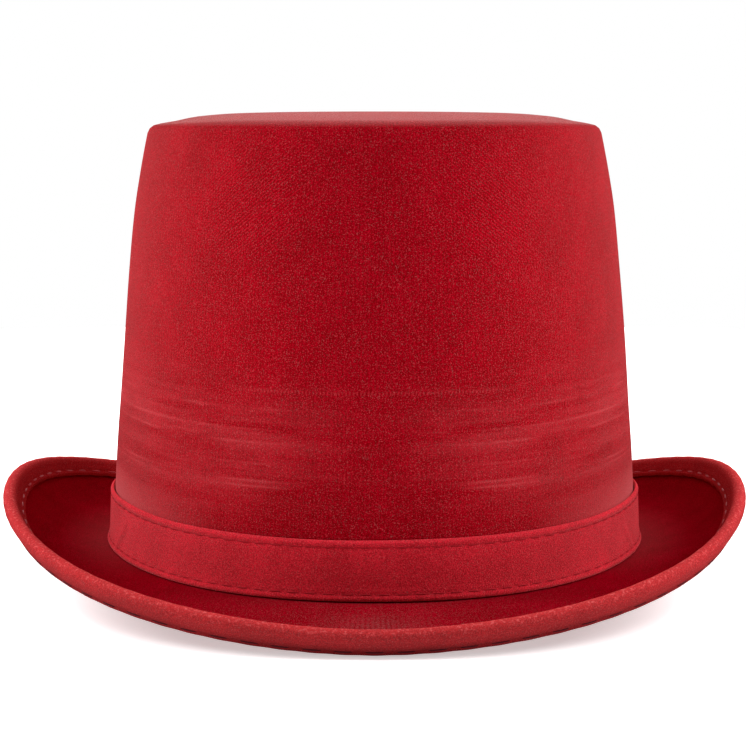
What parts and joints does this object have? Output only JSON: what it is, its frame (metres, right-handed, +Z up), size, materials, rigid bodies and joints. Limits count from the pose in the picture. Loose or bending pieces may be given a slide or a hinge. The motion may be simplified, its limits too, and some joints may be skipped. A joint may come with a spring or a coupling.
{
  "type": "top hat",
  "caption": "Costume top hat in red velour with a tapered oval crown, a hemmed band and a brim swept up at the sides.",
  "frame": {"origin": "on the surface that the hat stands on, under the middle of its outline", "axes": "+Z up through the tip, -Y out of the front of the hat, +X to the side"},
  "size_m": [0.2464, 0.277, 0.1545],
  "materials": {
    "crown_velour": "short red velour pile, crimson face-on and paler at a slant",
    "band_velour": "short red velour pile with topstitched hems",
    "brim_velour": "short dark red velour pile",
    "binding_velour": "red velour strip folded over the edge and stitched"
  },
  "bodies": {
    "root": {"crown": "crown_velour", "band": "band_velour", "brim": "brim_velour", "binding": "binding_velour"}
  },
  "joints": []
}
